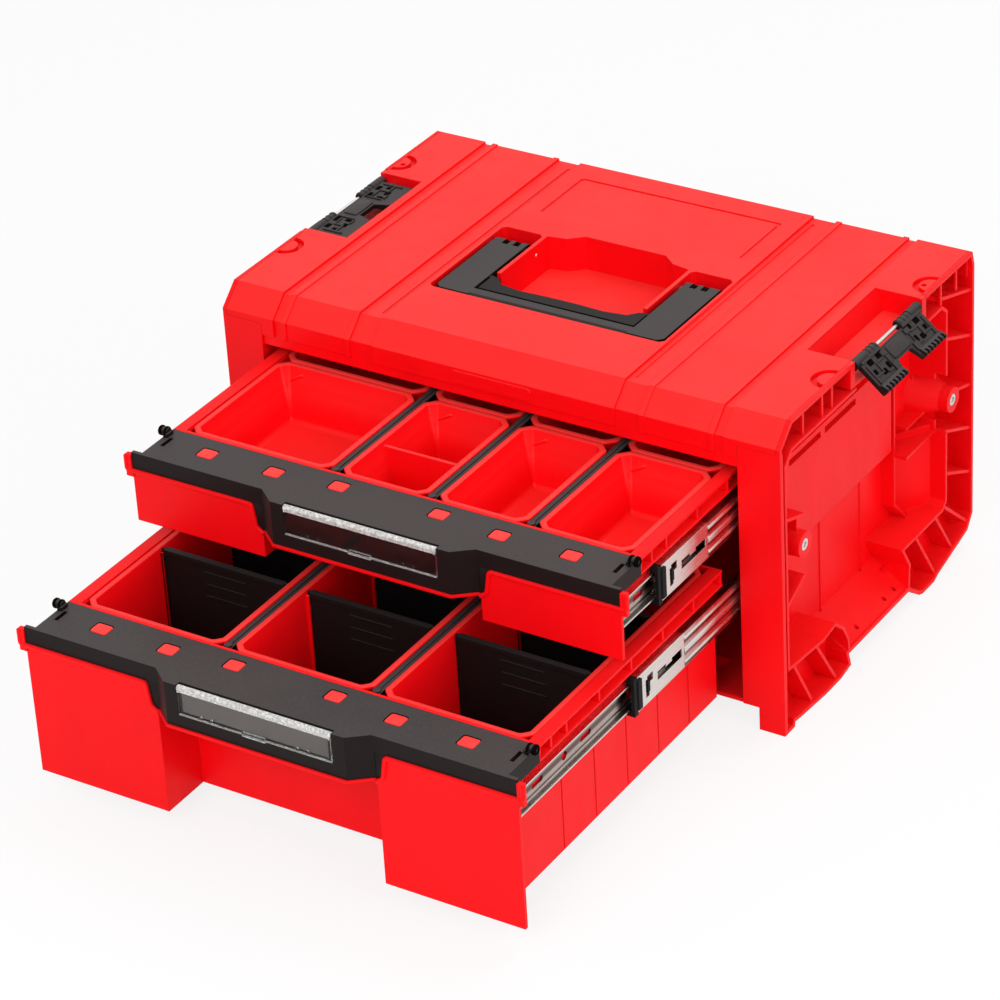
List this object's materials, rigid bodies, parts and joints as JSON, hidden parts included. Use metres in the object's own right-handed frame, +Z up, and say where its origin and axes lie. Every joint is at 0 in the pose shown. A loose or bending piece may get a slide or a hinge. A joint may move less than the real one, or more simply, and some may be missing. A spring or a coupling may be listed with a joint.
{
  "type": "tool box with drawers",
  "caption": "Portable moulded tool box with full width drawers on ball slides, open bins, folding carry handle and side stacking latches",
  "frame": {"origin": "centre of the cabinet's footprint on the ground plane", "axes": "+Z up, the drawers open towards -Y, +X is the right hand side seen from the front"},
  "size_m": [0.4739, 0.5896, 0.242],
  "materials": {
    "red_plastic": "finely textured bright red moulding",
    "red_bin_plastic": "smoother red inside the bins",
    "black_plastic": "textured dark grey moulding",
    "black_soft_plastic": "soft black insert",
    "zinc_steel": "zinc plated slide steel",
    "clear_plastic": "clear hinged label cover"
  },
  "bodies": {
    "cabinet": {"top_cover": "red_plastic", "side_left": "red_plastic", "side_right": "red_plastic", "back_panel": "red_plastic", "base_floor": "red_plastic", "screw_left_front": "zinc_steel", "screw_left_rear": "zinc_steel", "screw_right_front": "zinc_steel", "screw_right_rear": "zinc_steel", "cab_rail_upper_left": "zinc_steel", "cab_rail_upper_right": "zinc_steel", "cab_rail_lower_left": "zinc_steel", "cab_rail_lower_right": "zinc_steel", "pivot_left": "zinc_steel", "pivot_right": "zinc_steel", "latch_pin_left": "zinc_steel", "latch_pin_right": "zinc_steel"},
    "handle": {"handle_frame": "black_plastic", "handle_grip": "black_soft_plastic"},
    "latch_left": {"latch_left": "black_plastic"},
    "latch_right": {"latch_right": "black_plastic"},
    "upper_drawer": {"upper_tray": "red_plastic", "upper_cap": "black_plastic", "upper_strips": "black_plastic", "upper_bin_1": "red_bin_plastic", "upper_bin_2": "red_bin_plastic", "upper_bin_3": "red_bin_plastic", "upper_bin_4": "red_bin_plastic", "upper_bin_5": "red_bin_plastic", "upper_bin_6": "red_bin_plastic", "upper_bin_7": "red_bin_plastic", "upper_bin_8": "red_bin_plastic", "drw_rail_upper_left": "zinc_steel", "drw_rail_upper_right": "zinc_steel"},
    "upper_label_cover": {"upper_label": "clear_plastic"},
    "lower_drawer": {"lower_tray": "red_plastic", "lower_cap": "black_plastic", "lower_strips": "black_plastic", "lower_bin_1": "red_bin_plastic", "lower_bin_2": "red_bin_plastic", "lower_bin_3": "red_bin_plastic", "divider_1": "black_plastic", "divider_2": "black_plastic", "divider_3": "black_plastic", "divider_4": "black_plastic", "divider_5": "black_plastic", "divider_6": "black_plastic", "drw_rail_lower_left": "zinc_steel", "drw_rail_lower_right": "zinc_steel"},
    "lower_label_cover": {"lower_label": "clear_plastic"},
    "slide_upper_left": {"mid_rail_upper_left": "zinc_steel", "bumper_upper_left": "black_soft_plastic"},
    "slide_upper_right": {"mid_rail_upper_right": "zinc_steel", "bumper_upper_right": "black_soft_plastic"},
    "slide_lower_left": {"mid_rail_lower_left": "zinc_steel", "bumper_lower_left": "black_soft_plastic"},
    "slide_lower_right": {"mid_rail_lower_right": "zinc_steel", "bumper_lower_right": "black_soft_plastic"}
  },
  "joints": [
    {"name": "upper_drawer_slide", "type": "slide", "parent": "cabinet", "child": "upper_drawer", "axis": [0, -1, 0], "range_m": [-0.1535, 0.132]},
    {"name": "lower_drawer_slide", "type": "slide", "parent": "cabinet", "child": "lower_drawer", "axis": [0, -1, 0], "range_m": [-0.2855, 0]},
    {"name": "handle_hinge", "type": "hinge", "parent": "cabinet", "child": "handle", "pos_m": [0, 0.012, 0.2348], "axis": [-1, 0, 0], "range_deg": [0, 90]},
    {"name": "latch_left_hinge", "type": "hinge", "parent": "cabinet", "child": "latch_left", "pos_m": [-0.2224, 0.0125, 0.2365], "axis": [0, -1, 0], "range_deg": [0, 220]},
    {"name": "latch_right_hinge", "type": "hinge", "parent": "cabinet", "child": "latch_right", "pos_m": [0.2224, 0.0125, 0.2365], "axis": [0, -1, 0], "range_deg": [0, 220]},
    {"name": "upper_label_hinge", "type": "hinge", "parent": "upper_drawer", "child": "upper_label_cover", "pos_m": [0, -0.3102, 0.1955], "axis": [-1, 0, 0], "range_deg": [0, 85]},
    {"name": "lower_label_hinge", "type": "hinge", "parent": "lower_drawer", "child": "lower_label_cover", "pos_m": [0, -0.4422, 0.129], "axis": [-1, 0, 0], "range_deg": [0, 85]},
    {"name": "slide_upper_left_travel", "type": "slide", "parent": "cabinet", "child": "slide_upper_left", "axis": [0, -1, 0], "range_m": [-0.10141, 0.08722]},
    {"name": "slide_upper_right_travel", "type": "slide", "parent": "cabinet", "child": "slide_upper_right", "axis": [0, -1, 0], "range_m": [-0.10141, 0.08722]},
    {"name": "slide_lower_left_travel", "type": "slide", "parent": "cabinet", "child": "slide_lower_left", "axis": [0, -1, 0], "range_m": [-0.13714, 0.0001]},
    {"name": "slide_lower_right_travel", "type": "slide", "parent": "cabinet", "child": "slide_lower_right", "axis": [0, -1, 0], "range_m": [-0.13714, 0.0001]}
  ],
  "couplings": [
    {"joint": "slide_upper_left_travel", "follows": "upper_drawer_slide", "ratio": 0.66},
    {"joint": "slide_upper_right_travel", "follows": "upper_drawer_slide", "ratio": 0.66},
    {"joint": "slide_lower_left_travel", "follows": "lower_drawer_slide", "ratio": 0.48},
    {"joint": "slide_lower_right_travel", "follows": "lower_drawer_slide", "ratio": 0.48}
  ]
}
